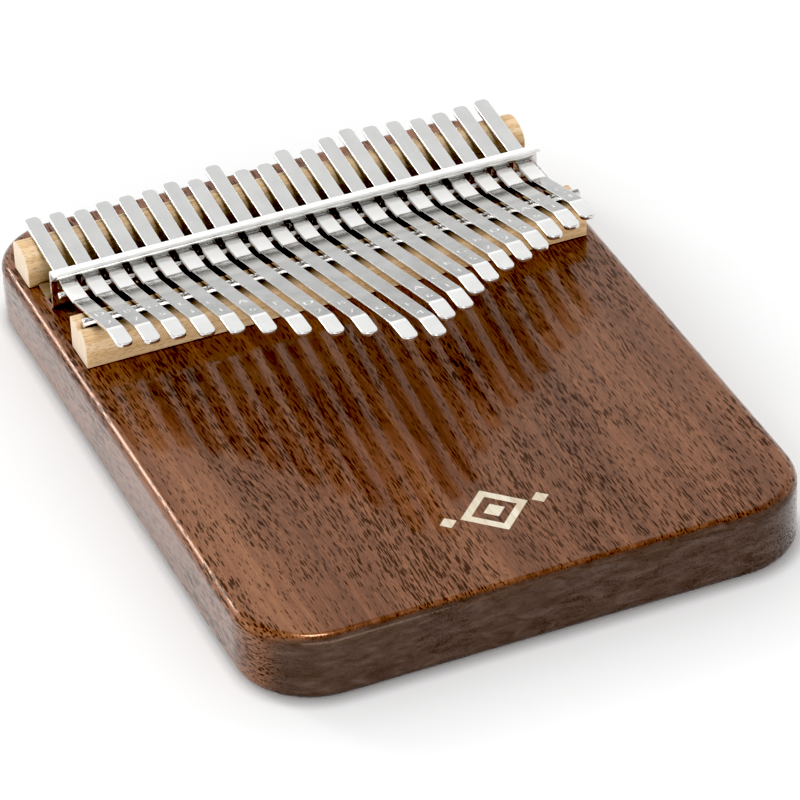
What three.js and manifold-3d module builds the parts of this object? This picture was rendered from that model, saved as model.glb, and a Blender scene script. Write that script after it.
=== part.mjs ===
// Solid-board kalimba (mbira) with 21 spring-steel tines.
// Millimetres, +Z up. The origin is under the middle of the board, on the surface it lies on.
// +X runs along the row of tines, and the player sits on the -Y side, where the tine tips point.
import * as THREE from 'three';
import { mergeVertices } from 'three/addons/utils/BufferGeometryUtils.js';
import Module from 'manifold-3d';

const wasm = await Module();
wasm.setup();

// Board: one slab of walnut
const BOARD_WIDTH = 157;
const BOARD_LENGTH = 215;
const BOARD_THICKNESS = 20;
const BOARD_EDGE_RADIUS = 3;
const FRONT_CORNER_RADIUS = 22;
const BACK_CORNER_RADIUS = 20;

// Maple inlay: an open diamond, a small diamond inside it, and one on either side
const INLAY_X = -1.5;
const INLAY_Y = -76;
const INLAY_THICKNESS = 0.8;
const POCKET_DEPTH = 1;
const POCKET_CLEARANCE = 0.15;
const DIAMOND_OUTER = 9.5;
const DIAMOND_INNER = 6.4;
const DIAMOND_CENTRE = 3;
const DIAMOND_SIDE = 2.4;
const DIAMOND_SIDE_SHIFT = 13;

// Wooden bridges, glued across the board
const FRONT_BLOCK = { halfLength: 74.3, front: 31.2, back: 43.4, height: 10, frontRadius: 3.6 };
const BACK_BLOCK = { halfLength: 75.4, front: 75.5, back: 87.5, backHeight: 8.6, topHeight: 10.2 };

// Tines: strips of spring steel with rounded ends, in pitch order from left to right.
// speaking is the length in front of the front bridge rod, tail the length behind it.
const TINE_WIDTH = 4.6;
const TINE_THICKNESS = 1.2;
const TINE_PITCH = 6.85;
const TINE_END_RADIUS = 1.9;
const TIP_LENGTH = 8.8;
const TIP_BEND_RADIUS = 8;
const CLAMP_BEND_RADIUS = 30;
const CRANK_BEND_RADIUS = 10;
const TINES = [
  { speaking: 24.5, tail: 53.5 },
  { speaking: 27.5, tail: 53 },
  { speaking: 29, tail: 51.5 },
  { speaking: 33, tail: 52.5 },
  { speaking: 37.5, tail: 52.5 },
  { speaking: 43.5, tail: 52.5 },
  { speaking: 51.5, tail: 53.5 },
  { speaking: 57.5, tail: 52 },
  { speaking: 64, tail: 56 },
  { speaking: 75, tail: 51 },
  { speaking: 78, tail: 51 },
  { speaking: 68, tail: 55 },
  { speaking: 64, tail: 52.5 },
  { speaking: 55.5, tail: 55.5 },
  { speaking: 49.5, tail: 57 },
  { speaking: 44, tail: 55.5 },
  { speaking: 40.5, tail: 55 },
  { speaking: 36, tail: 53.5 },
  { speaking: 30, tail: 53.5 },
  { speaking: 26, tail: 54 },
  { speaking: 21.5, tail: 54.5 },
];

// Side view of every tine: it falls from the back bridge into the bracket, runs nearly level
// for a short way, then is cranked up over the front rod. Each stretch is a line through a
// point of the upper face, with its rise per millimetre towards the tip.
const BRIDGE_Y = 37.5;
const REAR_STRETCH = { y: 62, z: 29.75, rise: -0.1 };
const CLAMP_STRETCH = { y: 60.5, z: 29.3, rise: 0.053 };
const FRONT_STRETCH = { y: BRIDGE_Y, z: 33.4, rise: 0.28 };

// Rods: centre in side view, radius, and the two ends along X
const FIT_GAP = 0.3;
const FRONT_ROD = { y: BRIDGE_Y, z: 30.5, radius: 1.35, from: -72.7, to: 74.9 };
const GROOVE_CLEARANCE = 0.3;
const PRESSURE_ROD = { y: 61.1, z: 31, radius: 0.7, from: -71.6, to: 71.6 };
const REST_ROD = { y: 58, z: 27.1, radius: 1, from: -72.5, to: 72.5 };
const ROD_END_CHAMFER = 0.3;

// Z-shaped bracket of sheet steel: flange on the board, slotted wall, curled lip
const SHEET = 1.2;
const BRACKET_HALF_LENGTH = 73;
const WALL_BACK = 63.3;
const WALL_FRONT = WALL_BACK - SHEET;
const FLANGE_BACK = 74.9;
const BRACKET_TOP = BOARD_THICKNESS + 13.2;
const INNER_BEND = 0.8;
const OUTER_BEND = INNER_BEND + SHEET;
const LIP_CURL = { y: 61, radius: 2.2, sweep: THREE.MathUtils.degToRad(75) };
const LIP_CORNER_RADIUS = 2.2;
const SLOT_WIDTH = 5.4;
const SLOT_BOTTOM = 26.6;
const SLOT_TOP = 30.55;
const TONGUE_TINES = [3, 10, 17];
const TONGUE_WIDTH = 4.4;
const TONGUE_FRONT = 56.9;

// Pan-head wood screws through the flange
const SCREW_XS = [-61.65, -30.83, 0, 30.83, 61.65];
const SCREW_Y = 69.3;
const SCREW = { headRadius: 2.9, headHeight: 1.7, shankRadius: 1.4, length: 12, pointLength: 3 };
const FLANGE_HOLE_RADIUS = 1.75;
const PILOT_HOLE_RADIUS = 1.6;
const PILOT_HOLE_DEPTH = 13;

// ---- helpers ----------------------------------------------------------------------------

// A closed geometry as a manifold-3d solid
function solidOf(geometry) {
  const bare = geometry.index ? geometry.toNonIndexed() : geometry.clone();
  bare.deleteAttribute('normal');
  bare.deleteAttribute('uv');
  const merged = mergeVertices(bare, 1e-4);
  return new wasm.Manifold(new wasm.Mesh({
    numProp: 3,
    vertProperties: new Float32Array(merged.attributes.position.array),
    triVerts: new Uint32Array(merged.index.array),
  }));
}

// A manifold-3d solid as a geometry
function geometryOf(solid) {
  const mesh = solid.getMesh();
  const geometry = new THREE.BufferGeometry();
  geometry.setAttribute('position', new THREE.BufferAttribute(mesh.vertProperties, 3));
  geometry.setIndex(new THREE.BufferAttribute(mesh.triVerts, 1));
  geometry.computeVertexNormals();
  return geometry;
}

// A plan outline in X and Y raised from z = low to z = high
function raise(shape, low, high, curveSegments = 6) {
  const geometry = new THREE.ExtrudeGeometry(shape, {
    depth: high - low, bevelEnabled: false, curveSegments,
  });
  return geometry.translate(0, 0, low);
}

// A side-view outline in Y and Z drawn out along X
function drawOut(shape, from, to, curveSegments = 6) {
  const geometry = new THREE.ExtrudeGeometry(shape, {
    depth: to - from, bevelEnabled: false, curveSegments,
  });
  const axes = new THREE.Matrix4().makeBasis(
    new THREE.Vector3(0, 1, 0), new THREE.Vector3(0, 0, 1), new THREE.Vector3(1, 0, 0));
  return geometry.applyMatrix4(axes).translate(from, 0, 0);
}

function box(x0, x1, y0, y1, z0, z1) {
  const geometry = new THREE.BoxGeometry(x1 - x0, y1 - y0, z1 - z0);
  return geometry.translate((x0 + x1) / 2, (y0 + y1) / 2, (z0 + z1) / 2);
}

// Rectangle with one radius on its -Y corners and another on its +Y corners
function roundedRectangle(x0, x1, y0, y1, lowRadius, highRadius) {
  const shape = new THREE.Shape();
  shape.moveTo(x0 + lowRadius, y0);
  shape.lineTo(x1 - lowRadius, y0);
  shape.absarc(x1 - lowRadius, y0 + lowRadius, lowRadius, -Math.PI / 2, 0, false);
  shape.lineTo(x1, y1 - highRadius);
  shape.absarc(x1 - highRadius, y1 - highRadius, highRadius, 0, Math.PI / 2, false);
  shape.lineTo(x0 + highRadius, y1);
  shape.absarc(x0 + highRadius, y1 - highRadius, highRadius, Math.PI / 2, Math.PI, false);
  shape.lineTo(x0, y0 + lowRadius);
  shape.absarc(x0 + lowRadius, y0 + lowRadius, lowRadius, Math.PI, Math.PI * 1.5, false);
  return shape;
}

function diamond(x, y, half) {
  return new THREE.Shape([
    new THREE.Vector2(x + half, y), new THREE.Vector2(x, y + half),
    new THREE.Vector2(x - half, y), new THREE.Vector2(x, y - half),
  ]);
}

function diamondRing(x, y, outer, inner) {
  const shape = diamond(x, y, outer);
  shape.holes.push(diamond(x, y, inner));
  return shape;
}

// Outline of a bent strip: corners are the upper face's corner points, each inner one
// rounded to its radius, and the lower face lies one thickness below along the normal.
function bentStrip(corners, radii, thickness, arcSteps) {
  const upper = [];
  const lower = [];
  const add = (point, direction) => {
    upper.push(point.clone());
    lower.push(new THREE.Vector2(
      point.x - direction.y * thickness, point.y + direction.x * thickness));
  };
  const first = corners[1].clone().sub(corners[0]).normalize();
  add(corners[0], first);
  for (let i = 1; i < corners.length - 1; i += 1) {
    const before = corners[i].clone().sub(corners[i - 1]).normalize();
    const after = corners[i + 1].clone().sub(corners[i]).normalize();
    const turn = Math.atan2(before.cross(after), before.dot(after));
    const setback = radii[i - 1] * Math.tan(Math.abs(turn) / 2);
    const start = corners[i].clone().addScaledVector(before, -setback);
    const side = Math.sign(turn);
    const centre = new THREE.Vector2(
      start.x - before.y * side * radii[i - 1], start.y + before.x * side * radii[i - 1]);
    for (let step = 0; step <= arcSteps[i - 1]; step += 1) {
      const angle = turn * step / arcSteps[i - 1];
      const point = start.clone().rotateAround(centre, angle);
      const direction = before.clone().rotateAround(new THREE.Vector2(), angle);
      add(point, direction);
    }
  }
  const end = corners.length - 1;
  add(corners[end], corners[end].clone().sub(corners[end - 1]).normalize());
  return new THREE.Shape([...upper, ...lower.reverse()]);
}

// A rod along X with chamfered ends
function rod({ y, z, radius, from, to }) {
  const half = (to - from) / 2;
  const profile = [
    new THREE.Vector2(0, -half),
    new THREE.Vector2(radius - ROD_END_CHAMFER, -half),
    new THREE.Vector2(radius, -half + ROD_END_CHAMFER),
    new THREE.Vector2(radius, half - ROD_END_CHAMFER),
    new THREE.Vector2(radius - ROD_END_CHAMFER, half),
    new THREE.Vector2(0, half),
  ];
  const geometry = new THREE.LatheGeometry(profile, 24).rotateZ(-Math.PI / 2);
  return geometry.translate((from + to) / 2, y, z);
}

function cylinder(x, y, radius, low, high) {
  const geometry = new THREE.CylinderGeometry(radius, radius, high - low, 20);
  return geometry.rotateX(Math.PI / 2).translate(x, y, (low + high) / 2);
}

// ---- the pieces -------------------------------------------------------------------------

function boardGeometry() {
  const halfX = BOARD_WIDTH / 2;
  const halfY = BOARD_LENGTH / 2;
  const outline = roundedRectangle(
    -halfX, halfX, -halfY, halfY, FRONT_CORNER_RADIUS, BACK_CORNER_RADIUS);
  const slab = new THREE.ExtrudeGeometry(outline, {
    depth: BOARD_THICKNESS - 2 * BOARD_EDGE_RADIUS,
    bevelThickness: BOARD_EDGE_RADIUS,
    bevelSize: BOARD_EDGE_RADIUS,
    bevelOffset: -BOARD_EDGE_RADIUS,
    bevelSegments: 5,
    curveSegments: 6,
  }).translate(0, 0, BOARD_EDGE_RADIUS);

  let board = solidOf(slab);
  const floor = BOARD_THICKNESS - POCKET_DEPTH;
  const above = BOARD_THICKNESS + 1;
  const grow = POCKET_CLEARANCE * Math.SQRT2;
  const pockets = [
    diamondRing(INLAY_X, INLAY_Y, DIAMOND_OUTER + grow, DIAMOND_INNER - grow),
    diamond(INLAY_X, INLAY_Y, DIAMOND_CENTRE + grow),
    diamond(INLAY_X - DIAMOND_SIDE_SHIFT, INLAY_Y, DIAMOND_SIDE + grow),
    diamond(INLAY_X + DIAMOND_SIDE_SHIFT, INLAY_Y, DIAMOND_SIDE + grow),
  ];
  for (const pocket of pockets) {
    board = board.subtract(solidOf(raise(pocket, floor, above)));
  }
  for (const x of SCREW_XS) {
    const hole = cylinder(
      x, SCREW_Y, PILOT_HOLE_RADIUS, BOARD_THICKNESS - PILOT_HOLE_DEPTH, above);
    board = board.subtract(solidOf(hole));
  }
  return geometryOf(board);
}

function inlayGeometry(shape) {
  return raise(shape, BOARD_THICKNESS - INLAY_THICKNESS, BOARD_THICKNESS);
}

// Square-backed block with a rounded front edge and a groove for the front rod
function frontBlockGeometry() {
  const { halfLength, front, back, height, frontRadius } = FRONT_BLOCK;
  const top = BOARD_THICKNESS + height;
  const grooveRadius = FRONT_ROD.radius + GROOVE_CLEARANCE;
  const grooveAngle = Math.asin((FRONT_ROD.z - top) / grooveRadius);
  const shape = new THREE.Shape();
  shape.moveTo(front, BOARD_THICKNESS);
  shape.lineTo(back, BOARD_THICKNESS);
  shape.lineTo(back, top);
  shape.absarc(FRONT_ROD.y, FRONT_ROD.z, grooveRadius, -grooveAngle, grooveAngle - Math.PI, true);
  shape.lineTo(front + frontRadius, top);
  shape.absarc(front + frontRadius, top - frontRadius, frontRadius, Math.PI / 2, Math.PI, false);
  return drawOut(shape, -halfLength, halfLength);
}

// Block with a square back and a domed top that rolls over to a lower front face
function backBlockGeometry() {
  const { halfLength, front, back, backHeight, topHeight } = BACK_BLOCK;
  const depth = back - front;
  const top = BOARD_THICKNESS + topHeight;
  const shape = new THREE.Shape();
  shape.moveTo(front, BOARD_THICKNESS);
  shape.lineTo(back, BOARD_THICKNESS);
  shape.lineTo(back, BOARD_THICKNESS + backHeight);
  shape.splineThru([
    new THREE.Vector2(back - depth * 0.22, top - 0.35),
    new THREE.Vector2(back - depth * 0.46, top),
    new THREE.Vector2(back - depth * 0.72, top - 0.75),
    new THREE.Vector2(back - depth * 0.92, top - 2.4),
    new THREE.Vector2(front, top - 4.2),
  ]);
  return drawOut(shape, -halfLength, halfLength, 12);
}

function heightAt(stretch, y) {
  return stretch.z + stretch.rise * (stretch.y - y);
}

// Where two straight stretches of the upper face would cross
function crossing(rear, front) {
  const y = (heightAt(front, 0) - heightAt(rear, 0)) / (front.rise - rear.rise);
  return new THREE.Vector2(y, heightAt(rear, y));
}

function tineGeometry({ speaking, tail }) {
  const rearY = BRIDGE_Y + tail;
  const tipY = BRIDGE_Y - speaking;
  const bendY = tipY + TIP_LENGTH;
  const bendZ = heightAt(FRONT_STRETCH, bendY);
  const sideView = bentStrip(
    [
      new THREE.Vector2(rearY, heightAt(REAR_STRETCH, rearY)),
      crossing(REAR_STRETCH, CLAMP_STRETCH),
      crossing(CLAMP_STRETCH, FRONT_STRETCH),
      new THREE.Vector2(bendY, bendZ),
      new THREE.Vector2(tipY, bendZ),
    ],
    [CLAMP_BEND_RADIUS, CRANK_BEND_RADIUS, TIP_BEND_RADIUS],
    TINE_THICKNESS,
    [3, 4, 4],
  );
  const half = TINE_WIDTH / 2;
  const planView = roundedRectangle(-half, half, tipY, rearY, TINE_END_RADIUS, TINE_END_RADIUS);
  const strip = solidOf(drawOut(sideView, -half - 1, half + 1));
  const outline = solidOf(raise(planView, BOARD_THICKNESS, bendZ + 10, 4));
  return geometryOf(strip.intersect(outline));
}

// Section of the bracket: flange, wall and lip as one bent sheet
function bracketSection() {
  const { y: curlY, radius, sweep } = LIP_CURL;
  const curlZ = BRACKET_TOP + radius;
  const under = BRACKET_TOP - SHEET;
  const start = -Math.PI / 2;
  const shape = new THREE.Shape();
  shape.moveTo(FLANGE_BACK, BOARD_THICKNESS);
  shape.lineTo(FLANGE_BACK, BOARD_THICKNESS + SHEET);
  shape.lineTo(WALL_BACK + INNER_BEND, BOARD_THICKNESS + SHEET);
  shape.absarc(
    WALL_BACK + INNER_BEND, BOARD_THICKNESS + OUTER_BEND, INNER_BEND, start, -Math.PI, true);
  shape.lineTo(WALL_BACK, BRACKET_TOP - OUTER_BEND);
  shape.absarc(
    WALL_BACK - OUTER_BEND, BRACKET_TOP - OUTER_BEND, OUTER_BEND, 0, Math.PI / 2, false);
  shape.absarc(curlY, curlZ, radius, start, start - sweep, true);
  shape.absarc(curlY, curlZ, radius + SHEET, start - sweep, start, false);
  shape.lineTo(WALL_FRONT - INNER_BEND, under);
  shape.absarc(
    WALL_FRONT - INNER_BEND, under - INNER_BEND, INNER_BEND, Math.PI / 2, 0, true);
  shape.lineTo(WALL_FRONT, BOARD_THICKNESS + OUTER_BEND);
  shape.absarc(
    WALL_FRONT + OUTER_BEND, BOARD_THICKNESS + OUTER_BEND, OUTER_BEND, Math.PI, Math.PI * 1.5, false);
  return shape;
}

function bracketGeometry() {
  const { y: curlY, radius } = LIP_CURL;
  const half = BRACKET_HALF_LENGTH;
  const lipFront = curlY - radius - SHEET;
  const planView = roundedRectangle(-half, half, lipFront, FLANGE_BACK, LIP_CORNER_RADIUS, 1);
  let bracket = solidOf(drawOut(bracketSection(), -half - 1, half + 1, 3));
  bracket = bracket.intersect(solidOf(raise(planView, 0, BRACKET_TOP + 10, 3)));
  for (const x of tinePlaces()) {
    const slot = box(
      x - SLOT_WIDTH / 2, x + SLOT_WIDTH / 2, WALL_FRONT - 0.7, WALL_BACK + 0.7, SLOT_BOTTOM, SLOT_TOP);
    bracket = bracket.subtract(solidOf(slot));
  }
  const tongueTop = REST_ROD.z - REST_ROD.radius - FIT_GAP;
  for (const index of TONGUE_TINES) {
    const x = tinePlaces()[index];
    const tongue = box(
      x - TONGUE_WIDTH / 2, x + TONGUE_WIDTH / 2,
      TONGUE_FRONT, WALL_BACK - SHEET / 2, tongueTop - SHEET, tongueTop);
    bracket = bracket.add(solidOf(tongue));
  }
  for (const x of SCREW_XS) {
    const hole = cylinder(
      x, SCREW_Y, FLANGE_HOLE_RADIUS, BOARD_THICKNESS - 1, BOARD_THICKNESS + SHEET + 1);
    bracket = bracket.subtract(solidOf(hole));
  }
  return geometryOf(bracket);
}

// Turned about its own axis, with z = 0 at the underside of the head
function screwGeometry() {
  const { headRadius, headHeight, shankRadius, length, pointLength } = SCREW;
  const profile = [
    new THREE.Vector2(0, -length),
    new THREE.Vector2(shankRadius, -length + pointLength),
    new THREE.Vector2(shankRadius, 0),
    new THREE.Vector2(headRadius, 0),
    new THREE.Vector2(headRadius, headHeight * 0.45),
    new THREE.Vector2(headRadius * 0.8, headHeight * 0.85),
    new THREE.Vector2(0, headHeight),
  ];
  return new THREE.LatheGeometry(profile, 20).rotateX(Math.PI / 2);
}

function tinePlaces() {
  const middle = (TINES.length - 1) / 2;
  return TINES.map((_, index) => (index - middle) * TINE_PITCH);
}

// ---- materials and assembly -------------------------------------------------------------

const walnut = () => new THREE.MeshStandardMaterial({ color: 0x6b4226, roughness: 0.3 });
const maple = () => new THREE.MeshStandardMaterial({ color: 0xe9d9b4, roughness: 0.4 });
const oak = () => new THREE.MeshStandardMaterial({ color: 0xc79f68, roughness: 0.6 });
const nickel = () => new THREE.MeshStandardMaterial({
  color: 0xdcdcdc, roughness: 0.15, metalness: 1,
});
const steel = () => new THREE.MeshStandardMaterial({
  color: 0xc9cac9, roughness: 0.25, metalness: 1,
});

const kalimba = new THREE.Group();

function place(name, geometry, material, x = 0, y = 0, z = 0) {
  const mesh = new THREE.Mesh(geometry, material);
  mesh.name = name;
  mesh.position.set(x, y, z);
  kalimba.add(mesh);
}

place('board', boardGeometry(), walnut());
place('inlay_diamond_ring',
  inlayGeometry(diamondRing(INLAY_X, INLAY_Y, DIAMOND_OUTER, DIAMOND_INNER)), maple());
place('inlay_diamond_centre', inlayGeometry(diamond(INLAY_X, INLAY_Y, DIAMOND_CENTRE)), maple());
place('inlay_diamond_left',
  inlayGeometry(diamond(INLAY_X - DIAMOND_SIDE_SHIFT, INLAY_Y, DIAMOND_SIDE)), maple());
place('inlay_diamond_right',
  inlayGeometry(diamond(INLAY_X + DIAMOND_SIDE_SHIFT, INLAY_Y, DIAMOND_SIDE)), maple());
place('front_bridge_block', frontBlockGeometry(), oak());
place('back_bridge_block', backBlockGeometry(), oak());
place('front_bridge_rod', rod(FRONT_ROD), nickel());
place('pressure_rod', rod(PRESSURE_ROD), nickel());
place('tine_rest_rod', rod(REST_ROD), nickel());
place('z_bracket', bracketGeometry(), nickel());
SCREW_XS.forEach((x, index) => {
  place(`bracket_screw_${index + 1}`, screwGeometry(), steel(), x, SCREW_Y, BOARD_THICKNESS + SHEET);
});
tinePlaces().forEach((x, index) => {
  const name = `tine_${String(index + 1).padStart(2, '0')}`;
  place(name, tineGeometry(TINES[index]), steel(), x);
});

export default kalimba;
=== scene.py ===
import math

import bmesh
import bpy
from mathutils import Matrix, Vector


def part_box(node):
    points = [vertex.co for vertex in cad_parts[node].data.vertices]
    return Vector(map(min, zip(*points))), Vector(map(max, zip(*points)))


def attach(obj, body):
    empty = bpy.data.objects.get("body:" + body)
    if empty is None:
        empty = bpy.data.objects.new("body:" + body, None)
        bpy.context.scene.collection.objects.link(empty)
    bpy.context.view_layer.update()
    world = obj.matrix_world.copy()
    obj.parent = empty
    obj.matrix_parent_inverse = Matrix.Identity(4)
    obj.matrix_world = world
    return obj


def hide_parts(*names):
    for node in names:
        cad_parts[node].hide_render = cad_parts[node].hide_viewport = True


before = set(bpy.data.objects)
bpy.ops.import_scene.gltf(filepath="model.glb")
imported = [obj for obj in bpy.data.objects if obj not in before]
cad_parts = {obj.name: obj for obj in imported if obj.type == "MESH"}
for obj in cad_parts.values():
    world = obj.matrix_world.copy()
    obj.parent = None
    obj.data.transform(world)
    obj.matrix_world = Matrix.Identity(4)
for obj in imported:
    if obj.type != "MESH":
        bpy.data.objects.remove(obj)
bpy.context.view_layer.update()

# All shapes below are made in millimetres, in the row frame, and scaled to metres at the end.
MM = 0.001
ROOT = "sound_board"

BOARD = {"width": 157, "length": 215, "top": 20, "edge": 3, "front_corner": 22, "back_corner": 20}
INLAY = {"x": -1.5, "y": -76, "outer": 9.5, "inner": 6.4, "centre": 3, "side": 2.4, "shift": 13}
INLAY_FIT = 0.03

TINE_WIDTH = 4.6
TINE_THICKNESS = 1.2
TINE_PITCH = 6.85
TINE_CORNER = 1.9
TINE_EDGE = 0.26
TINE_FLAT_MARGIN = 0.04
TIP_LENGTH = 8.8
TIP_BEND = 8
CLAMP_BEND = 30
CRANK_BEND = 10
SPEAKING = [24.5, 27.5, 29, 33, 37.5, 43.5, 51.5, 57.5, 64, 75, 78,
            68, 64, 55.5, 49.5, 44, 40.5, 36, 30, 26, 21.5]
TAILS = [53.5, 53, 51.5, 52.5, 52.5, 52.5, 53.5, 52, 56, 51, 51,
         55, 52.5, 55.5, 57, 55.5, 55, 53.5, 53.5, 54, 54.5]
# Note letter, scale number and octave dots stamped on each tine
MARKS = ["D2:", "B7.", "G5.", "E3.", "C1.", "A6", "F4", "D2", "B7", "G5", "F4",
         "A6", "C1", "E3", "G5", "B7", "D2.", "F4.", "A6.", "C1:", "E3:"]
# Straight stretches of a tine's upper face: (y, z, rise per millimetre towards the tip)
BRIDGE_Y = 37.5
REAR_STRETCH = (62, 29.75, -0.1)
CLAMP_STRETCH = (60.5, 29.3, 0.053)
FRONT_STRETCH = (BRIDGE_Y, 33.4, 0.28)

# Stamped marks: places behind the bend at the tip, depth, and sizes
LETTER_PLACE = 13.5
NUMBER_PLACE = 5.3
DOT_PLACE = 9.3
DOT_RADIUS = 0.32
STAMP_DEPTH = 0.14
STAMP_HALF = 0.5
STAMP_TEXT_SIZE = 4.0
STAMP_BOLDER = 0.06
STROKE_HALF = 0.24
PRESS_TRIES = 8
PRESS_STEP = 0.013
MOST_PRESSED = 1.5

FRONT_BLOCK = {"half": 74.3, "front": 31.2, "back": 43.4, "height": 10, "radius": 3.6}
BACK_BLOCK = {"half": 75.4, "front": 75.5, "back": 87.5, "height": 10.2, "rear": 8.6}
BLOCK_EDGE = 0.35
GROOVE_RADIUS = 1.65
GROOVE_LIFT = 0.5
ROD_EDGE = 0.45

SHEET = 1.2
BRACKET_HALF = 73
WALL_BACK = 63.3
WALL_FRONT = WALL_BACK - SHEET
FLANGE_BACK = 74.9
BRACKET_TOP = 33.2
INNER_BEND = 0.8
OUTER_BEND = 2.0
CURL_Y = 61
CURL_RADIUS = 2.2
CURL_SWEEP = math.radians(75)
SLOT_WIDTH = 5.4
SLOT_BOTTOM = 26.6
SLOT_TOP = 30.55
SLOT_CORNER = 0.45
TONGUES = [3, 10, 17]
TONGUE = {"half": 2.2, "front": 56.9, "low": 24.6, "high": 25.8, "corner": 1.2}
FLANGE_HOLE = 1.75
PILOT_HOLE = 1.6
PILOT_FLOOR = 7
SCREW_XS = [-61.65, -30.83, 0, 30.83, 61.65]
SCREW_Y = 69.3


CAMERA = {"azimuth": -21.35, "elevation": 34.88, "roll": -2.81, "target": (6.43, 7.13, 0),
          "distance": 1340.8, "focal_in_frame_widths": 6.1193}
BLACK_LEVEL = 0.036


# ---- mesh helpers --------------------------------------------------------------------------

def new_object(name, vertices, faces, material_indices=None):
    mesh = bpy.data.meshes.new(name)
    mesh.from_pydata([tuple(v) for v in vertices], [], faces)
    if material_indices:
        mesh.polygons.foreach_set("material_index", material_indices)
    mesh.update()
    obj = bpy.data.objects.new(name, mesh)
    bpy.context.scene.collection.objects.link(obj)
    outward(mesh)
    return obj


def outward(mesh, weld=1e-4):
    work = bmesh.new()
    work.from_mesh(mesh)
    bmesh.ops.remove_doubles(work, verts=work.verts, dist=weld)
    bmesh.ops.dissolve_degenerate(work, edges=work.edges, dist=weld)
    bmesh.ops.recalc_face_normals(work, faces=work.faces)
    work.to_mesh(mesh)
    work.free()


def stack(rings, capped=True):
    """Vertices and faces of a tube through rings of equal size, with an n-gon on each end."""
    size = len(rings[0])
    vertices = [p for ring in rings for p in ring]
    faces = []
    for r in range(len(rings) - 1):
        for i in range(size):
            j = (i + 1) % size
            faces.append((r * size + i, r * size + j, (r + 1) * size + j, (r + 1) * size + i))
    if capped:
        faces.append(tuple(range(size)))
        faces.append(tuple((len(rings) - 1) * size + i for i in range(size)))
    return vertices, faces


def drawn_out(name, section, x0, x1):
    """A side-view section of (y, z) points drawn out along X."""
    rings = [[(x, y, z) for y, z in section] for x in (x0, x1)]
    return new_object(name, *stack(rings))


def raised(name, outline, z0, z1):
    rings = [[(x, y, z) for x, y in outline] for z in (z0, z1)]
    return new_object(name, *stack(rings))


def arc(cx, cy, radius, start, end, steps):
    return [(cx + radius * math.cos(start + (end - start) * i / steps),
             cy + radius * math.sin(start + (end - start) * i / steps)) for i in range(steps + 1)]


def rounded_rectangle(x0, x1, y0, y1, low, high, steps):
    quarter = math.pi / 2
    return (arc(x1 - low, y0 + low, low, -quarter, 0, steps)
            + arc(x1 - high, y1 - high, high, 0, quarter, steps)
            + arc(x0 + high, y1 - high, high, quarter, 2 * quarter, steps)
            + arc(x0 + low, y0 + low, low, 2 * quarter, 3 * quarter, steps))


def joined(name, objects):
    """One object with the meshes of several, which go."""
    work = bmesh.new()
    for obj in objects:
        work.from_mesh(obj.data)
    mesh = bpy.data.meshes.new(name)
    work.to_mesh(mesh)
    work.free()
    for obj in objects:
        bpy.data.objects.remove(obj)
    result = bpy.data.objects.new(name, mesh)
    bpy.context.scene.collection.objects.link(result)
    return result


def evaluate(obj):
    """Replaces the object's mesh with what its modifiers make of it."""
    bpy.context.view_layer.update()
    graph = bpy.context.evaluated_depsgraph_get()
    mesh = bpy.data.meshes.new_from_object(obj.evaluated_get(graph), depsgraph=graph)
    obj.modifiers.clear()
    obj.data = mesh
    return obj


def combine(obj, other, operation):
    step = obj.modifiers.new("combine", "BOOLEAN")
    step.operation = operation
    step.solver = "EXACT"
    step.object = other
    evaluate(obj)
    bpy.data.objects.remove(other)
    return obj


def bevel(obj, width, segments=3, angle=50):
    step = obj.modifiers.new("bevel", "BEVEL")
    step.width = width
    step.segments = segments
    step.limit_method = "ANGLE"
    step.angle_limit = math.radians(angle)
    step.harden_normals = False
    return evaluate(obj)


def finish_piece(obj, materials, nodes, body=ROOT, sharp=32):
    """Scales a piece made in millimetres to metres, smooths it and puts it on its body."""
    mesh = obj.data
    mesh.transform(Matrix.Scale(MM, 4))
    mesh.materials.clear()
    for material in materials:
        mesh.materials.append(material)
    mesh.shade_smooth()
    mesh.set_sharp_from_angle(angle=math.radians(sharp))
    step = obj.modifiers.new("normals", "WEIGHTED_NORMAL")
    step.mode = "FACE_AREA"
    step.weight = 50
    step.keep_sharp = True
    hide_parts(*nodes)
    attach(obj, body)
    return obj


# ---- material helpers ----------------------------------------------------------------------

def add(tree, kind, inputs=None, **settings):
    node = tree.nodes.new(kind)
    for key, value in settings.items():
        setattr(node, key, value)
    for key, value in (inputs or {}).items():
        if isinstance(value, bpy.types.NodeSocket):
            tree.links.new(value, node.inputs[key])
        else:
            node.inputs[key].default_value = value
    return node


def sized(tree, point, size):
    """Coordinates in which a feature of size (x, y, z) millimetres is one unit across."""
    scale = tuple(1 / (s * MM) for s in size)
    return add(tree, "ShaderNodeMapping", {"Vector": point, "Scale": scale}).outputs[0]


def noise(tree, point, size, detail=2.0, roughness=0.5, distortion=0.0):
    return add(tree, "ShaderNodeTexNoise", {
        "Vector": sized(tree, point, size), "Scale": 1.0, "Detail": detail,
        "Roughness": roughness, "Distortion": distortion}).outputs["Fac"]


def cells(tree, point, size):
    return add(tree, "ShaderNodeTexVoronoi", {
        "Vector": sized(tree, point, size), "Scale": 1.0}).outputs["Distance"]


def calc(tree, operation, a, b=0.0, clamp=False):
    return add(tree, "ShaderNodeMath", {0: a, 1: b}, operation=operation,
               use_clamp=clamp).outputs[0]


def fade(tree, value, low, high, to_low=0.0, to_high=1.0):
    return add(tree, "ShaderNodeMapRange", {
        "Value": value, "From Min": low, "From Max": high,
        "To Min": to_low, "To Max": to_high}, interpolation_type="SMOOTHSTEP").outputs[0]


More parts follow.
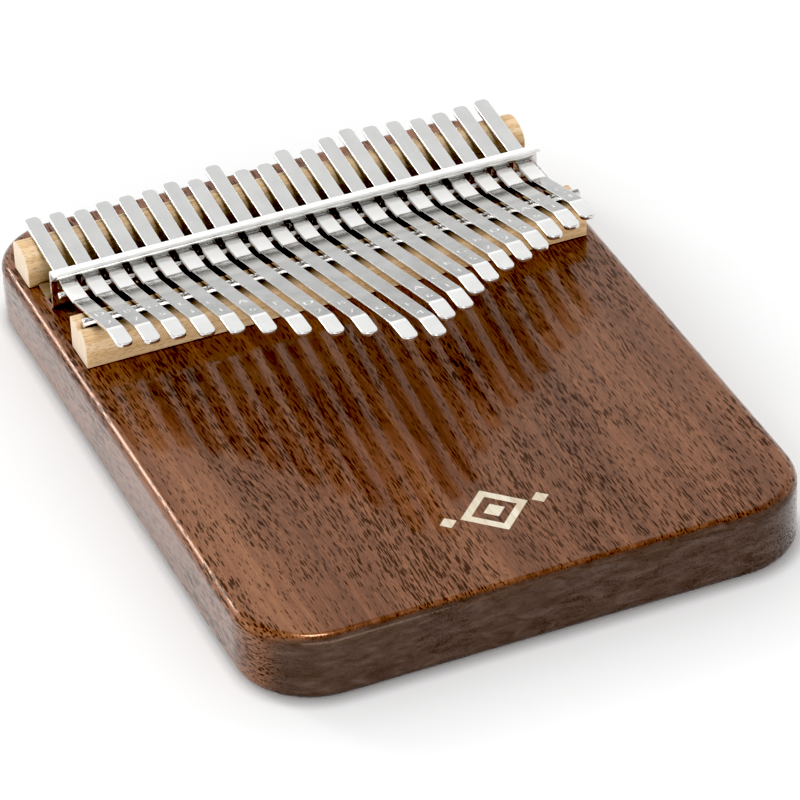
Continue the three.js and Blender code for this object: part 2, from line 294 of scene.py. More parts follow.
def ramp(tree, factor, stops):
    node = add(tree, "ShaderNodeValToRGB", {"Fac": factor})
    elements = node.color_ramp.elements
    elements.remove(elements[1])
    elements[0].position = stops[0][0]
    elements[0].color = (*stops[0][1], 1)
    for position, colour in stops[1:]:
        elements.new(position).color = (*colour, 1)
    return node.outputs["Color"]


def mixed(tree, factor, a, b, kind="MIX"):
    node = add(tree, "ShaderNodeMix", data_type="RGBA", blend_type=kind)
    for index, value in ((0, factor), (6, a), (7, b)):
        if isinstance(value, bpy.types.NodeSocket):
            tree.links.new(value, node.inputs[index])
        else:
            node.inputs[index].default_value = value
    return node.outputs[2]


def new_material(name):
    material = bpy.data.materials.new(name)
    material.use_nodes = True
    tree = material.node_tree
    tree.nodes.clear()
    point = add(tree, "ShaderNodeTexCoord").outputs["Object"]
    shader = add(tree, "ShaderNodeBsdfPrincipled")
    output = add(tree, "ShaderNodeOutputMaterial")
    tree.links.new(shader.outputs[0], output.inputs["Surface"])
    return material, tree, point, shader


def feed(tree, shader, **inputs):
    for key, value in inputs.items():
        socket = shader.inputs[key.replace("_", " ")]
        if isinstance(value, bpy.types.NodeSocket):
            tree.links.new(value, socket)
        else:
            socket.default_value = value


def bumped(tree, height, strength, distance, normal=None):
    inputs = {"Height": height, "Strength": strength, "Distance": distance * MM}
    if normal is not None:
        inputs["Normal"] = normal
    return add(tree, "ShaderNodeBump", inputs).outputs[0]


def painted_shade(tree, colour, distance, low, high, floor):
    """The colour with painted shade: darker in narrow gaps and under overhangs."""
    open_sky = add(tree, "ShaderNodeAmbientOcclusion", {"Distance": distance * MM},
                   samples=8).outputs["AO"]
    keep = fade(tree, open_sky, low, high, floor, 1.0)
    grey = add(tree, "ShaderNodeCombineColor", {"Red": keep, "Green": keep, "Blue": keep})
    return mixed(tree, 1.0, colour, grey.outputs[0], "MULTIPLY")


# ---- materials -----------------------------------------------------------------------------

def walnut_material():
    """Walnut under gloss lacquer: dark streaks and short open pores along Y."""
    material, tree, point, shader = new_material("walnut_lacquered")
    drift = calc(tree, "SUBTRACT", noise(tree, point, (45, 150, 60), 1.0), 0.5)
    shift = add(tree, "ShaderNodeCombineXYZ", {"X": calc(tree, "MULTIPLY", drift, 0.016)})
    grain = add(tree, "ShaderNodeVectorMath", {0: point, 1: shift.outputs[0]}).outputs[0]

    bands = noise(tree, grain, (13, 300, 16), 3.0, 0.5)
    streaks = noise(tree, grain, (1.7, 46, 1.7), 4.0, 0.62)
    fibres = noise(tree, grain, (0.4, 7, 0.4), 3.0, 0.6)
    tone = calc(tree, "ADD", calc(tree, "MULTIPLY", bands, 0.34),
                calc(tree, "MULTIPLY", streaks, 0.36))
    tone = calc(tree, "ADD", tone, calc(tree, "MULTIPLY", fibres, 0.30))
    colour = ramp(tree, tone, [
        (0.34, (0.042, 0.015, 0.010)), (0.43, (0.090, 0.032, 0.019)),
        (0.50, (0.148, 0.056, 0.030)), (0.58, (0.220, 0.090, 0.045)),
        (0.68, (0.310, 0.138, 0.068))])

    crowd = noise(tree, grain, (20, 60, 20), 3.0, 0.6)
    reach = fade(tree, crowd, 0.36, 0.64, 0.26, 0.46)
    long_pores = calc(tree, "SUBTRACT", reach, cells(tree, grain, (0.62, 5.0, 0.62)))
    short_pores = calc(tree, "SUBTRACT", reach, cells(tree, grain, (0.42, 2.6, 0.42)))
    long_pores = fade(tree, long_pores, 0.0, 0.06)
    short_pores = fade(tree, short_pores, 0.03, 0.10)
    pores = calc(tree, "MAXIMUM", long_pores, calc(tree, "MULTIPLY", short_pores, 0.6))
    colour = mixed(tree, calc(tree, "MULTIPLY", pores, 0.8), colour, (0.010, 0.005, 0.003, 1))

    # The two ends of the board show end grain, which is darker
    facing = add(tree, "ShaderNodeNewGeometry").outputs["Normal"]
    endwise = add(tree, "ShaderNodeSeparateXYZ", {"Vector": facing}).outputs["Y"]
    ends = fade(tree, calc(tree, "ABSOLUTE", endwise), 0.35, 0.8)
    rings = noise(tree, grain, (7, 40, 2.2), 3.0, 0.6, 0.6)
    end_colour = ramp(tree, rings, [(0.35, (0.050, 0.034, 0.028)), (0.55, (0.073, 0.051, 0.043)),
                                    (0.70, (0.100, 0.070, 0.058))])
    colour = mixed(tree, ends, colour, end_colour)

    # Painted shade: the walnut is darkened in narrow gaps and under overhangs.
    colour = painted_shade(tree, colour, 10, 0.15, 0.60, 0.25)
    rough = fade(tree, streaks, 0.2, 0.8, 0.17, 0.30)
    dents = bumped(tree, pores, 0.25, -0.06)
    ripple = bumped(tree, noise(tree, point, (9, 14, 9), 1.0), 0.25, 0.03)
    open_pore = calc(tree, "MULTIPLY", pores, 0.75)
    sheen = calc(tree, "SUBTRACT", calc(tree, "SUBTRACT", 1.0, open_pore),
                 calc(tree, "MULTIPLY", ends, 0.7), clamp=True)
    lacquer = calc(tree, "SUBTRACT", 1.0, calc(tree, "MULTIPLY", pores, 0.5))
    feed(tree, shader, Base_Color=colour, Roughness=rough, Normal=dents, Coat_Normal=ripple,
         Specular_IOR_Level=sheen, Coat_Weight=lacquer)
    shader.inputs["Specular Tint"].default_value = (1.0, 0.50, 0.24, 1.0)
    shader.inputs["Coat Roughness"].default_value = 0.03
    shader.inputs["Coat IOR"].default_value = 1.23
    return material


def maple_material():
    """Pale maple under the same lacquer, with faint grain along Y."""
    material, tree, point, shader = new_material("maple_lacquered")
    bands = noise(tree, point, (1.4, 30, 1.4), 3.0)
    flecks = fade(tree, cells(tree, point, (0.35, 2.2, 0.35)), 0.30, 0.16)
    colour = ramp(tree, bands, [(0.3, (0.60, 0.50, 0.36)), (0.5, (0.72, 0.64, 0.49)),
                                (0.7, (0.80, 0.73, 0.60))])
    colour = mixed(tree, calc(tree, "MULTIPLY", flecks, 0.35), colour, (0.42, 0.30, 0.18, 1))
    ripple = bumped(tree, noise(tree, point, (9, 14, 9), 1.0), 0.25, 0.03)
    feed(tree, shader, Base_Color=colour, Roughness=fade(tree, bands, 0.3, 0.7, 0.35, 0.5),
         Coat_Normal=ripple)
    shader.inputs["Coat Weight"].default_value = 1.0
    shader.inputs["Specular IOR Level"].default_value = 0.15
    shader.inputs["Coat Roughness"].default_value = 0.03
    shader.inputs["Coat IOR"].default_value = 1.47
    return material


def bridge_wood_material():
    """Unfinished pale hardwood: grain and short brown flecks along X."""
    material, tree, point, shader = new_material("bridge_hardwood")
    bands = noise(tree, point, (90, 2.2, 2.2), 4.0, 0.6)
    fibres = noise(tree, point, (7, 0.3, 0.3), 2.0)
    tone = calc(tree, "ADD", calc(tree, "MULTIPLY", bands, 0.7),
                calc(tree, "MULTIPLY", fibres, 0.3))
    colour = ramp(tree, tone, [(0.32, (0.60, 0.36, 0.17)), (0.46, (0.74, 0.50, 0.27)),
                               (0.56, (0.84, 0.61, 0.37)), (0.68, (0.90, 0.71, 0.48))])
    flecks = fade(tree, cells(tree, point, (2.4, 0.42, 0.42)), 0.34, 0.24)
    colour = mixed(tree, calc(tree, "MULTIPLY", flecks, 0.5), colour, (0.30, 0.15, 0.065, 1))
    facing = add(tree, "ShaderNodeNewGeometry").outputs["Normal"]
    endwise = add(tree, "ShaderNodeSeparateXYZ", {"Vector": facing}).outputs["X"]
    ends = fade(tree, calc(tree, "ABSOLUTE", endwise), 0.5, 0.9, 0.0, 0.75)
    colour = mixed(tree, ends, colour, (0.88, 0.76, 0.62, 1))
    # Painted shade: the bridge wood is darkened in narrow gaps and under overhangs, such as behind
    # the bracket.
    colour = painted_shade(tree, colour, 14, 0.20, 0.62, 0.10)
    height = calc(tree, "SUBTRACT", calc(tree, "MULTIPLY", fibres, 0.4), flecks)
    feed(tree, shader, Base_Color=colour, Roughness=fade(tree, fibres, 0.3, 0.7, 0.5, 0.68),
         Normal=bumped(tree, height, 0.35, 0.06))
    shader.inputs["Specular IOR Level"].default_value = 0.4
    return material


def metal_material(name, colour, low, high, grain, rough_painted_reflection_strip=None):
    """Polished metal with fine drawing lines along the grain direction and faint blotches.

    The last argument names an axis and four places along it: a strip starts between the first two
    and ends between the last two. The strip is rougher, and its near-white, almost non-metallic
    colour is a painted reflection.
    """
    material, tree, point, shader = new_material(name)
    lines = noise(tree, point, grain, 3.0, 0.6)
    blotches = noise(tree, point, (6, 8, 6), 3.0)
    darker = tuple(c * 0.93 for c in colour)
    tint = ramp(tree, blotches, [(0.35, darker), (0.65, colour)])
    mix = calc(tree, "ADD", calc(tree, "MULTIPLY", lines, 0.6),
               calc(tree, "MULTIPLY", blotches, 0.4))
    rough = fade(tree, mix, 0.3, 0.7, low, high)
    shader.inputs["Metallic"].default_value = 1.0
    if rough_painted_reflection_strip:
        place = add(tree, "ShaderNodeSeparateXYZ", {"Vector": point}).outputs[rough_painted_reflection_strip[0]]
        rough_and_painted_white = calc(tree, "MULTIPLY", fade(tree, place, rough_painted_reflection_strip[1] * MM, rough_painted_reflection_strip[2] * MM),
                    fade(tree, place, rough_painted_reflection_strip[4] * MM, rough_painted_reflection_strip[3] * MM))
        # The strip is rougher, and its colour and metalness are painted: near-white and almost
        # non-metallic, a painted reflection.
        rough = calc(tree, "ADD", rough, calc(tree, "MULTIPLY", rough_and_painted_white, 0.3))
        tint = mixed(tree, rough_and_painted_white, tint, (0.97, 0.965, 0.95, 1))
        feed(tree, shader, Metallic=fade(tree, rough_and_painted_white, 0.0, 1.0, 1.0, 0.1))
    feed(tree, shader, Base_Color=tint, Roughness=rough, Normal=bumped(tree, lines, 0.015, 0.01))
    return material


walnut = walnut_material()
maple = maple_material()
bridge_wood = bridge_wood_material()
# The tines' strip just in front of the bracket wall is rougher and painted near-white: a painted
# reflection of the bracket lip.
tine_steel = metal_material("nickelled_spring_steel", (0.81, 0.81, 0.80), 0.10, 0.16,
                            (0.12, 9, 0.12), ("Y", 49.2, 51.4, 58.6, 59.6))
stamped_steel = metal_material("stamped_mark_floor", (0.90, 0.90, 0.89), 0.34, 0.5,
                               (0.2, 0.2, 0.2))
nickel = metal_material("bright_nickel", (0.86, 0.85, 0.83), 0.06, 0.13, (12, 0.15, 0.15))
# The lip's upper face and curl are rougher and painted near-white and almost non-metallic: partly a
# satin finish, partly a painted reflection.
lip_nickel = metal_material("nickel_with_dull_painted_white_lip", (0.86, 0.85, 0.83), 0.06, 0.13,
                            (12, 0.15, 0.15), ("Z", 32.1, 33.0, 60, 61))
screw_steel = metal_material("zinc_plated_screw", (0.74, 0.75, 0.76), 0.18, 0.32,
                             (0.3, 0.3, 0.3))


# ---- the wooden pieces ---------------------------------------------------------------------

def diamond(x, y, half):
    return [(x + half, y), (x, y + half), (x - half, y), (x, y - half)]


def make_board():
    edge = BOARD["edge"]
    half_x = BOARD["width"] / 2
    half_y = BOARD["length"] / 2
    steps = 9
    profile = []
    for i in range(steps + 1):
        angle = math.pi / 2 * i / steps
        profile.append((edge * (1 - math.sin(angle)), edge * (1 - math.cos(angle))))
    profile += [(inset, BOARD["top"] - z) for inset, z in reversed(profile)]
    rings = []
    for inset, z in profile:
        outline = rounded_rectangle(
            inset - half_x, half_x - inset, inset - half_y, half_y - inset,
            BOARD["front_corner"] - inset, BOARD["back_corner"] - inset, 30)
        rings.append([(x, y, z) for x, y in outline])
    board = new_object("board_walnut", *stack(rings))

    x, y = INLAY["x"], INLAY["y"]
    fit = INLAY_FIT * math.sqrt(2)
    floor, above = BOARD["top"] - 1, BOARD["top"] + 1
    outer = raised("c1", diamond(x, y, INLAY["outer"] + fit), floor, above)
    inner = raised("c2", diamond(x, y, INLAY["inner"] - fit), floor - 1, above + 1)
    combine(outer, inner, "DIFFERENCE")
    cutters = [outer, raised("c3", diamond(x, y, INLAY["centre"] + fit), floor, above)]
    for side in (-1, 1):
        place = x + side * INLAY["shift"]
        cutters.append(raised("c4", diamond(place, y, INLAY["side"] + fit), floor, above))
    for place in SCREW_XS:
        outline = arc(place, SCREW_Y, PILOT_HOLE, 0, math.tau * 31 / 32, 31)
        cutters.append(raised("c5", outline, PILOT_FLOOR, above))
    combine(board, joined("cutters", cutters), "DIFFERENCE")
    return finish_piece(board, [walnut], ["board"])


def make_front_block():
    front, back, radius = FRONT_BLOCK["front"], FRONT_BLOCK["back"], FRONT_BLOCK["radius"]
    base = BOARD["top"]
    top = base + FRONT_BLOCK["height"]
    groove_z = top + GROOVE_LIFT
    dip = math.asin((groove_z - top) / GROOVE_RADIUS)
    section = [(front, base), (back, base), (back, top)]
    section += arc(BRIDGE_Y, groove_z, GROOVE_RADIUS, -dip, dip - math.pi, 14)
    section += arc(front + radius, top - radius, radius, math.pi / 2, math.pi, 12)
    block = drawn_out("front_bridge_hardwood", section, -FRONT_BLOCK["half"], FRONT_BLOCK["half"])
    bevel(block, BLOCK_EDGE, 3, 40)
    return finish_piece(block, [bridge_wood], ["front_bridge_block"])


def spline(points, steps):
    """Catmull-Rom curve through the points, which does not repeat the first."""
    result = []
    for i in range(len(points) - 1):
        p0 = points[max(i - 1, 0)]
        p1, p2 = points[i], points[i + 1]
        p3 = points[min(i + 2, len(points) - 1)]
        for step in range(1, steps + 1):
            t = step / steps
            result.append(tuple(
                0.5 * (2 * b + (c - a) * t + (2 * a - 5 * b + 4 * c - d) * t * t
                       + (3 * b - a - 3 * c + d) * t ** 3)
                for a, b, c, d in zip(p0, p1, p2, p3)))
    return result


def make_back_block():
    front, back = BACK_BLOCK["front"], BACK_BLOCK["back"]
    base, depth = BOARD["top"], BACK_BLOCK["back"] - BACK_BLOCK["front"]
    top = base + BACK_BLOCK["height"]
    through = [(back, base + BACK_BLOCK["rear"]), (back - depth * 0.22, top - 0.35),
               (back - depth * 0.46, top), (back - depth * 0.72, top - 0.75),
               (back - depth * 0.92, top - 2.4),
               (front, top - 4.2)]
    section = [(front, base), (back, base), through[0]] + spline(through, 5)
    block = drawn_out("back_bridge_hardwood", section, -BACK_BLOCK["half"], BACK_BLOCK["half"])
    bevel(block, BLOCK_EDGE, 3, 40)
    return finish_piece(block, [bridge_wood], ["back_bridge_block"])


# ---- the metal pieces ----------------------------------------------------------------------

def turned(name, profile, axis, steps=48):
    """Profile of (radius, height) points turned about X or Z. End radii may be zero."""
    rings = []
    for radius, height in profile:
        ring = []
        for i in range(steps):
            angle = math.tau * i / steps
            a, b = radius * math.cos(angle), radius * math.sin(angle)
            ring.append((height, a, b) if axis == "X" else (a, b, height))
        rings.append(ring)
    return new_object(name, *stack(rings))


def make_rod(name, node):
    low, high = (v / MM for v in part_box(node))
    radius = (high.z - low.z) / 2
    x0, x1 = low.x, high.x
    round_over = min(ROD_EDGE, radius * 0.5)
    profile = []
    for i in range(6):
        angle = math.pi / 2 * i / 5
        profile.append((radius - round_over * (1 - math.sin(angle)),
                        round_over * (1 - math.cos(angle))))
    rings = [(r, x0 + d) for r, d in profile] + [(r, x1 - d) for r, d in reversed(profile)]
    rod = turned(name, rings, "X")
    rod.data.transform(Matrix.Translation((0, (low.y + high.y) / 2, (low.z + high.z) / 2)))
    return finish_piece(rod, [nickel], [node])


def make_bracket():
    quarter = math.pi / 2
    base = BOARD["top"]
    under = BRACKET_TOP - SHEET
    curl_z = BRACKET_TOP + CURL_RADIUS
    lip_end = -quarter - CURL_SWEEP
    section = [(FLANGE_BACK, base), (FLANGE_BACK, base + SHEET)]
    section += arc(WALL_BACK + INNER_BEND, base + OUTER_BEND, INNER_BEND, -quarter, -2 * quarter, 6)
    section += arc(WALL_BACK - OUTER_BEND, BRACKET_TOP - OUTER_BEND, OUTER_BEND, 0, quarter, 10)
    section += arc(CURL_Y, curl_z, CURL_RADIUS, -quarter, lip_end, 12)
    tip = (CURL_Y + (CURL_RADIUS + SHEET / 2) * math.cos(lip_end),
           curl_z + (CURL_RADIUS + SHEET / 2) * math.sin(lip_end))
    section += arc(*tip, SHEET / 2, lip_end + math.pi, lip_end, 8)[1:-1]
    section += arc(CURL_Y, curl_z, CURL_RADIUS + SHEET, lip_end, -quarter, 12)
    section += arc(WALL_FRONT - INNER_BEND, under - INNER_BEND, INNER_BEND, quarter, 0, 6)
    section += arc(WALL_FRONT + OUTER_BEND, base + OUTER_BEND, OUTER_BEND, 2 * quarter,
                   3 * quarter, 10)
    bracket = drawn_out("z_bracket_nickelled", section, -BRACKET_HALF - 1, BRACKET_HALF + 1)
    plan = rounded_rectangle(-BRACKET_HALF, BRACKET_HALF, CURL_Y - CURL_RADIUS - SHEET,
                             FLANGE_BACK, 2.2, 1, 8)
    combine(bracket, raised("plan", plan, 0, BRACKET_TOP + 10), "INTERSECT")
    cutters = []
    for index in range(21):
        x = (index - 10) * TINE_PITCH
        outline = rounded_rectangle(x - SLOT_WIDTH / 2, x + SLOT_WIDTH / 2,
                                    SLOT_BOTTOM, SLOT_TOP, SLOT_CORNER, SLOT_CORNER, 4)
        rings = [[(a, y, b) for a, b in outline] for y in (WALL_FRONT - 0.7, WALL_BACK + 0.7)]
        cutters.append(new_object("slot", *stack(rings)))
    for x in SCREW_XS:
        outline = arc(x, SCREW_Y, FLANGE_HOLE, 0, math.tau * 31 / 32, 31)
        cutters.append(raised("hole", outline, base - 1, base + SHEET + 1))
    combine(bracket, joined("cutters", cutters), "DIFFERENCE")
    tongues = []
    for index in TONGUES:
        x = (index - 10) * TINE_PITCH
        outline = rounded_rectangle(x - TONGUE["half"], x + TONGUE["half"], TONGUE["front"],
                                    WALL_BACK - SHEET / 2, TONGUE["corner"], 0.1, 6)
        tongues.append(raised("tongue", outline, TONGUE["low"], TONGUE["high"]))
    combine(bracket, joined("tongues", tongues), "UNION")
    bevel(bracket, 0.12, 2, 50)
    return finish_piece(bracket, [lip_nickel], ["z_bracket"])


def make_screw(index, x):
    under = BOARD["top"] + SHEET
    profile = [(0.05, -12), (1.4, -9), (1.4, -0.02), (2.75, 0), (2.9, 0.14), (2.9, 0.7)]
    for i in range(1, 9):
        angle = math.pi / 2 * i / 8
        profile.append((2.9 * math.cos(angle * 0.985), 0.7 + 1.0 * math.sin(angle)))
    screw = turned(f"bracket_screw_{index + 1}_plated", profile, "Z")
    recess = []
    for turn in (0, math.pi / 2):
        rings = []
        for half_length, half_width, z in ((0.7, 0.2, 0.7), (1.75, 0.38, 2.0)):
            ring = []
            for a, b in ((1, 1), (-1, 1), (-1, -1), (1, -1)):
                px, py = a * half_length, b * half_width
                ring.append((px * math.cos(turn) - py * math.sin(turn),
                             px * math.sin(turn) + py * math.cos(turn), z))
            rings.append(ring)
        recess.append(new_object("recess", *stack(rings)))
    combine(recess[0], recess[1], "UNION")
    combine(screw, recess[0], "DIFFERENCE")
    screw.data.transform(Matrix.Rotation(math.radians(17 + 31 * index), 4, "Z"))
    screw.data.transform(Matrix.Translation((x, SCREW_Y, under)))
    return finish_piece(screw, [screw_steel], [f"bracket_screw_{index + 1}"])


# ---- tines ---------------------------------------------------------------------------------

def height_at(stretch, y):
    return stretch[1] + stretch[2] * (stretch[0] - y)


def crossing(rear, front):
    y = (height_at(front, 0) - height_at(rear, 0)) / (front[2] - rear[2])
    return Vector((y, height_at(rear, y)))


def tine_path(speaking, tail):
    """Points of the upper face in side view from tail to tip, each with its direction."""
    rear_y, tip_y = BRIDGE_Y + tail, BRIDGE_Y - speaking
    bend_y = tip_y + TIP_LENGTH
    bend_z = height_at(FRONT_STRETCH, bend_y)
    corners = [Vector((rear_y, height_at(REAR_STRETCH, rear_y))),
               crossing(REAR_STRETCH, CLAMP_STRETCH), crossing(CLAMP_STRETCH, FRONT_STRETCH),
               Vector((bend_y, bend_z)), Vector((tip_y, bend_z))]
    path = [(corners[0], (corners[1] - corners[0]).normalized())]
    for i, radius, steps in ((1, CLAMP_BEND, 8), (2, CRANK_BEND, 12), (3, TIP_BEND, 12)):
        before = (corners[i] - corners[i - 1]).normalized()
        after = (corners[i + 1] - corners[i]).normalized()
        turn = math.atan2(before.x * after.y - before.y * after.x, before.dot(after))
        start = corners[i] - before * radius * math.tan(abs(turn) / 2)
        side = math.copysign(radius, turn)
        centre = start + Vector((-before.y, before.x)) * side
        for step in range(steps + 1):
            rotation = Matrix.Rotation(turn * step / steps, 2)
            path.append((centre + rotation @ (start - centre), rotation @ before))
    path.append((corners[4], (corners[4] - corners[3]).normalized()))
    return path


def end_steps():
    """Distances from an end at which the outline and the edges are rounded."""
    steps = [TINE_EDGE * (1 - math.cos(math.pi / 2 * i / 4)) for i in range(5)]
    steps += [TINE_CORNER * (1 - math.cos(math.pi / 2 * i / 10)) for i in range(1, 11)]
    return sorted(d for d in steps if d <= TINE_CORNER)


def tine_section(distance):
    """Rounded rectangle across the tine at this distance from an end: (x, depth) points."""
    half = TINE_WIDTH / 2
    if distance < TINE_CORNER:
        half -= TINE_CORNER - math.sqrt(TINE_CORNER ** 2 - (TINE_CORNER - distance) ** 2)
    inset = 0.0
    if distance < TINE_EDGE:
        inset = TINE_EDGE - math.sqrt(max(TINE_EDGE ** 2 - (TINE_EDGE - distance) ** 2, 0))
    radius = max(TINE_EDGE - inset, 0.004)
    top, bottom = -inset, inset - TINE_THICKNESS
    quarter = math.pi / 2
    flat = half - radius - TINE_FLAT_MARGIN
    return (arc(half - radius, top - radius, radius, 0, quarter, 4)
            + [(flat, top), (-flat, top)]
            + arc(radius - half, top - radius, radius, quarter, 2 * quarter, 4)
            + arc(radius - half, bottom + radius, radius, 2 * quarter, 3 * quarter, 4)
            + arc(half - radius, bottom + radius, radius, 3 * quarter, 4 * quarter, 4))


def bar(x0, y0, x1, y1):
    """Straight stroke from one point to another."""
    start, end = Vector((x0, y0)), Vector((x1, y1))
    along = (end - start).normalized() * STROKE_HALF
    side = Vector((-along.y, along.x))
    corners = [start - along - side, end + along - side, end + along + side, start - along + side]
    return raised("bar", [tuple(c) for c in corners], -STAMP_HALF, STAMP_HALF)


def character(text):
    """Solids of one stamped character, lying flat and centred, a little under 3 mm high."""
    if text == "4":
        return [bar(0.45, -1.15, 0.45, 1.15), bar(-0.9, -0.5, 0.97, -0.52),
                bar(-0.9, -0.42, 0.38, 1.16)]
    curve = bpy.data.curves.new("glyph", "FONT")
    curve.body = text
    curve.size = STAMP_TEXT_SIZE
    curve.align_x = "CENTER"
    curve.align_y = "CENTER"
    curve.extrude = STAMP_HALF
    # A bolder B has an outline that cannot be cut cleanly
    curve.offset = 0.0 if text == "B" else STAMP_BOLDER
    curve.resolution_u = 4
    holder = bpy.data.objects.new("glyph", curve)
    bpy.context.scene.collection.objects.link(holder)
    bpy.context.view_layer.update()
    graph = bpy.context.evaluated_depsgraph_get()
    mesh = bpy.data.meshes.new_from_object(holder.evaluated_get(graph), depsgraph=graph)
    bpy.data.objects.remove(holder)
    outward(mesh, 1e-3)
    ys = [v.co.y for v in mesh.vertices]
    mesh.transform(Matrix.Translation((0, -(min(ys) + max(ys)) / 2, 0)))
    result = bpy.data.objects.new("glyph", mesh)
    bpy.context.scene.collection.objects.link(result)
    return [result]


def make_tine(index):
    speaking, tail = SPEAKING[index], TAILS[index]
    x = (index - 10) * TINE_PITCH
    path = tine_path(speaking, tail)
    rear, rear_direction = path[0]
    tip, tip_direction = path[-1]
    stations = [(rear + rear_direction * d, rear_direction, d) for d in end_steps()]
    stations += [(p, d, TINE_CORNER) for p, d in path[1:-1]]
    stations += [(tip - tip_direction * d, tip_direction, d) for d in reversed(end_steps())]
    rings = []
    for point, direction, distance in stations:
        up = Vector((direction.y, -direction.x))
        if up.y < 0:
            up = -up
        ring = []
        for across, depth in tine_section(distance):
            place = point + up * depth
            ring.append((x + across, place.x, place.y))
        rings.append(ring)
    name = f"tine_{index + 1:02d}"
    tine = new_object(f"{name}_steel", *stack(rings))
    tine.data.materials.append(tine_steel)
    tine.data.materials.append(stamped_steel)

    bend_y = BRIDGE_Y - speaking + TIP_LENGTH
    bend_z = height_at(FRONT_STRETCH, bend_y)
    slope = math.atan(FRONT_STRETCH[2])
    along = Vector((0, math.cos(slope), -math.sin(slope)))
    normal = Vector((0, math.sin(slope), math.cos(slope)))
    label = MARKS[index]
    stamps = [(solid, 0, LETTER_PLACE) for solid in character(label[0])]
    stamps += [(solid, 0, NUMBER_PLACE) for solid in character(label[1])]
    dots = {"": [], ".": [0], ":": [-0.6, 0.6]}[label[2:]]
    for shift in dots:
        outline = arc(0, 0, DOT_RADIUS, 0, math.tau * 11 / 12, 11)
        stamps.append((raised("dot", outline, -STAMP_HALF, STAMP_HALF), shift, DOT_PLACE))
    for stamp, shift, behind in stamps:
        place = (Vector((x + shift, bend_y, bend_z)) + along * behind
                 + normal * (STAMP_HALF - STAMP_DEPTH))
        basis = Matrix((Vector((1, 0, 0)), along, normal)).transposed().to_4x4()
        stamp.data.transform(Matrix.Translation(place) @ basis)
        stamp.data.materials.clear()
        stamp.data.materials.append(tine_steel)
        stamp.data.materials.append(stamped_steel)
        stamp.data.polygons.foreach_set("material_index", [1] * len(stamp.data.polygons))
        press(tine, stamp, along)
    # Tidying a piece clears which faces are stamped, so they are put back afterwards
    indices = [0] * len(tine.data.polygons)
    tine.data.polygons.foreach_get("material_index", indices)
    finish_piece(tine, [tine_steel, stamped_steel], [name], f"{name}_body")
    tine.data.polygons.foreach_set("material_index", indices)


def solid_volume(mesh):
    """Volume of a closed mesh, and zero for one with open or doubled edges."""
    work = bmesh.new()
    work.from_mesh(mesh)
    closed = all(len(edge.link_faces) == 2 for edge in work.edges)
    volume = work.calc_volume() if closed else 0.0
    work.free()
    return volume


def press(tine, stamp, along):
    """Cuts a stamp into a tine, a hair further along it where the cut would not come out clean."""
    blank = tine.data
    full = solid_volume(blank)
    for _ in range(PRESS_TRIES):
        step = tine.modifiers.new("press", "BOOLEAN")
        step.operation = "DIFFERENCE"
        step.solver = "EXACT"
        step.object = stamp
        evaluate(tine)
        if 0.0 < full - solid_volume(tine.data) < MOST_PRESSED:
            break
        tine.data = blank
        stamp.data.transform(Matrix.Translation(along * PRESS_STEP))
    bpy.data.objects.remove(stamp)


make_board()
make_front_block()
make_back_block()
make_rod("front_rod_nickelled", "front_bridge_rod")
make_rod("pressure_rod_nickelled", "pressure_rod")
make_rod("rest_rod_nickelled", "tine_rest_rod")
make_bracket()
for number, screw_x in enumerate(SCREW_XS):
    make_screw(number, screw_x)
for number in range(21):
    make_tine(number)

for node_name in ("ring", "centre", "left", "right"):
    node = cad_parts[f"inlay_diamond_{node_name}"]
    node.data.materials.clear()
    node.data.materials.append(maple)


# ---- studio: floor, world, lights and camera -----------------------------------------------

def make_floor():
    steps = 96
    outline = arc(0, 0, 6000, 0, math.tau * (steps - 1) / steps, steps - 1)
    floor = new_object("studio_floor", [(x, y, 0) for x, y in outline], [tuple(range(steps))])
    floor.data.transform(Matrix.Scale(MM, 4))
    material, tree, point, shader = new_material("studio_paper")
    feed(tree, shader, Base_Color=(0.93, 0.93, 0.93, 1.0), Roughness=0.9)
    floor.data.materials.append(material)


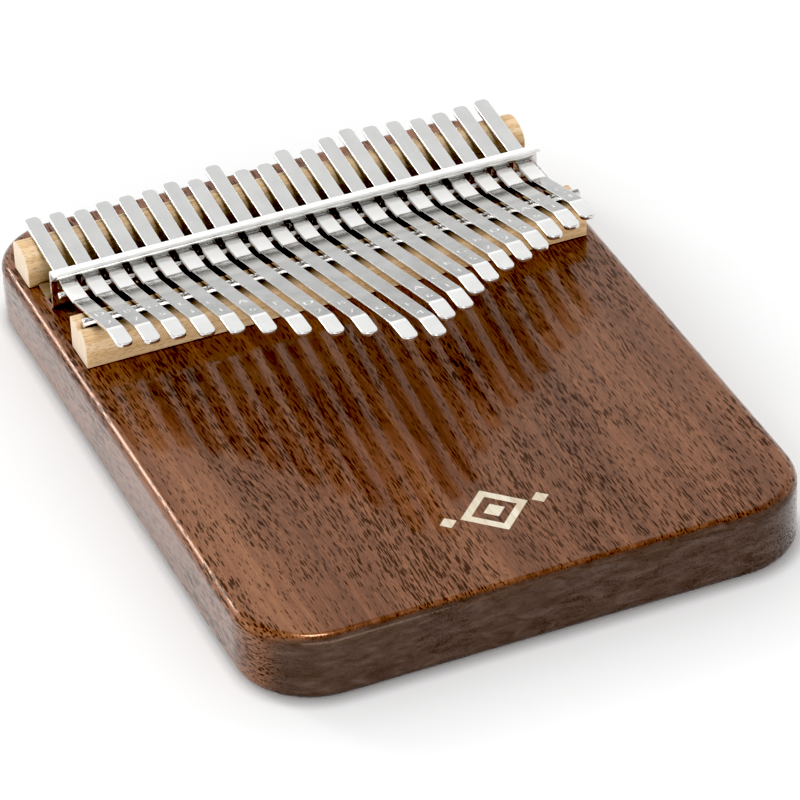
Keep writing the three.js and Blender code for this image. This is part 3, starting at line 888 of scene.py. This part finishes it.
def make_world():
    world = bpy.data.worlds.new("studio")
    bpy.context.scene.world = world
    world.use_nodes = True
    tree = world.node_tree
    tree.nodes.clear()
    direction = add(tree, "ShaderNodeTexCoord").outputs["Generated"]
    parts = add(tree, "ShaderNodeSeparateXYZ", {"Vector": direction})
    height = parts.outputs["Z"]
    level = calc(tree, "MULTIPLY_ADD", height, 0.5)
    level.node.inputs[2].default_value = 0.5
    stops = [(-1, 0.5), (-0.02, 0.5), (0.0, 1.25), (0.040, 1.30), (0.060, 0.45), (0.130, 0.45),
             (0.19, 1.35), (0.45, 1.3), (0.57, 1.14), (0.68, 0.92), (0.78, 0.80), (0.86, 0.40),
             (1, 0.35)]
    colour = ramp(tree, level, [(z / 2 + 0.5, (v, v, v)) for z, v in stops])
    forward = fade(tree, parts.outputs["Y"], -0.5, 0.25, 0.75, 1.0)
    sideways = fade(tree, parts.outputs["X"], -1.0, 1.0, 1.08, 0.85)
    strength = calc(tree, "MULTIPLY", forward, sideways)
    background = add(tree, "ShaderNodeBackground", {"Color": colour, "Strength": strength})
    output = add(tree, "ShaderNodeOutputWorld")
    tree.links.new(background.outputs[0], output.inputs["Surface"])


def make_light(name, place, target, size, power):
    light = bpy.data.lights.new(name, "AREA")
    light.shape = "RECTANGLE"
    light.size, light.size_y = size
    light.energy = power
    obj = bpy.data.objects.new(name, light)
    bpy.context.scene.collection.objects.link(obj)
    obj.location = place
    obj.rotation_euler = (Vector(target) - Vector(place)).to_track_quat("-Z", "Y").to_euler()
    return obj


def make_camera():
    azimuth, elevation = math.radians(CAMERA["azimuth"]), math.radians(CAMERA["elevation"])
    roll = math.radians(CAMERA["roll"])
    target, distance = Vector(CAMERA["target"]) * MM, CAMERA["distance"] * MM
    back = Vector((math.sin(azimuth) * math.cos(elevation),
                   -math.cos(azimuth) * math.cos(elevation), math.sin(elevation)))
    right = (-back).cross(Vector((0, 0, 1))).normalized()
    up = right.cross(-back)
    across = right * math.cos(roll) + up * math.sin(roll)
    upright = up * math.cos(roll) - right * math.sin(roll)
    camera = bpy.data.cameras.new("photo_view")
    camera.sensor_width = 36
    camera.lens = camera.sensor_width * CAMERA["focal_in_frame_widths"]
    camera.clip_start = 0.05
    camera.clip_end = 50
    obj = bpy.data.objects.new("photo_view", camera)
    bpy.context.scene.collection.objects.link(obj)
    obj.matrix_world = (Matrix.Translation(target + back * distance)
                        @ Matrix((across, upright, back)).transposed().to_4x4())
    bpy.context.scene.camera = obj


def make_tone():
    """Plain display with crushed blacks, as in a high-contrast product picture."""
    settings = bpy.context.scene.view_settings
    settings.view_transform = "Standard"
    settings.use_curve_mapping = True
    settings.curve_mapping.black_level = (BLACK_LEVEL,) * 3
    settings.curve_mapping.update()


make_floor()
make_world()
make_light("overhead_softbox", (0.0, 0.05, 1.4), (0, 0, 0), (0.28, 0.28), 6)
make_light("front_softbox", (-0.25, -1.45, 0.36), (0, 0, 0), (1.4, 0.5), 8)
make_light("back_left_softbox", (-0.75, 1.2, 0.72), (0, 0, 0), (0.28, 0.45), 4)
make_camera()
make_tone()
